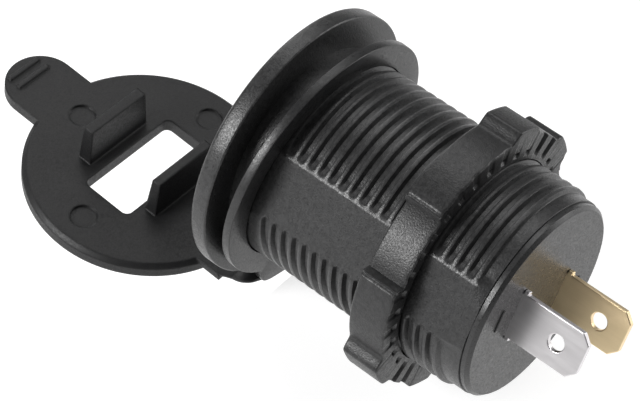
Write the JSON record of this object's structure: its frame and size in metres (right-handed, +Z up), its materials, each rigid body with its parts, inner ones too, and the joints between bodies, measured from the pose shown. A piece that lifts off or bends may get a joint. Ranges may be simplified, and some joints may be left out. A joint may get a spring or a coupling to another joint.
{
  "type": "usb socket with voltmeter",
  "caption": "Round panel socket with USB ports and a voltmeter in its flanged front, a threaded barrel with a mounting nut, blade terminals behind and a hinged dust cap.",
  "frame": {"origin": "on the barrel's axis, in the plane of the flange's back face", "axes": "+Y along the barrel from the flange to the terminals, +Z up as the part lies in the picture with its cap open and level, +X to the right of someone who looks at the front"},
  "size_m": [0.0397, 0.0946, 0.0395],
  "materials": {
    "black_plastic": "black moulded nylon, satin",
    "soft_black": "black soft plastic, matte",
    "dark_lens": "dark red clear plastic, polished",
    "digit_block": "grey plastic",
    "port_steel": "plated sheet steel",
    "port_white": "white plastic",
    "contact_gold": "gold-plated",
    "board_green": "green solder mask",
    "ferrite": "ferrite grey",
    "copper": "enamelled copper wire",
    "can": "drawn aluminium",
    "chip_black": "moulded package",
    "tinned": "bright tin plate",
    "brass": "plain brass",
    "lead_red": "red insulation",
    "lead_black": "black insulation"
  },
  "bodies": {
    "socket": {"housing": "black_plastic", "fascia": "black_plastic", "display_lens": "dark_lens", "display_module": "digit_block", "usb_shell_upper": "port_steel", "usb_shell_lower": "port_steel", "usb_tongue_upper": "port_white", "usb_tongue_lower": "port_white", "usb_contacts_upper": "contact_gold", "usb_contacts_lower": "contact_gold", "front_board": "board_green", "power_board": "board_green", "inductor_core": "ferrite", "inductor_coil": "copper", "input_capacitor": "can", "output_capacitor": "can", "converter_chip": "chip_black", "rectifier_diode": "chip_black", "rear_cover": "black_plastic", "positive_terminal": "brass", "negative_terminal": "tinned", "positive_lead": "lead_red", "negative_lead": "lead_black", "strap_ring": "soft_black", "hinge_web": "soft_black"},
    "nut": {"mounting_nut": "black_plastic"},
    "cap": {"dust_cap": "soft_black"}
  },
  "joints": [
    {"name": "nut_travel", "type": "slide", "parent": "socket", "child": "nut", "axis": [0, 1, 0], "range_m": [-0.0162, 0.02592]},
    {"name": "cap_hinge", "type": "hinge", "parent": "socket", "child": "cap", "pos_m": [0.0044, -0.00278, -0.01938], "axis": [-0.9865, -0.1204, -0.1106], "range_deg": [-85, 85.8], "stiffness_Nm_per_rad": 0.006, "springref_deg": 4.28, "deforming": ["hinge_web"]}
  ]
}
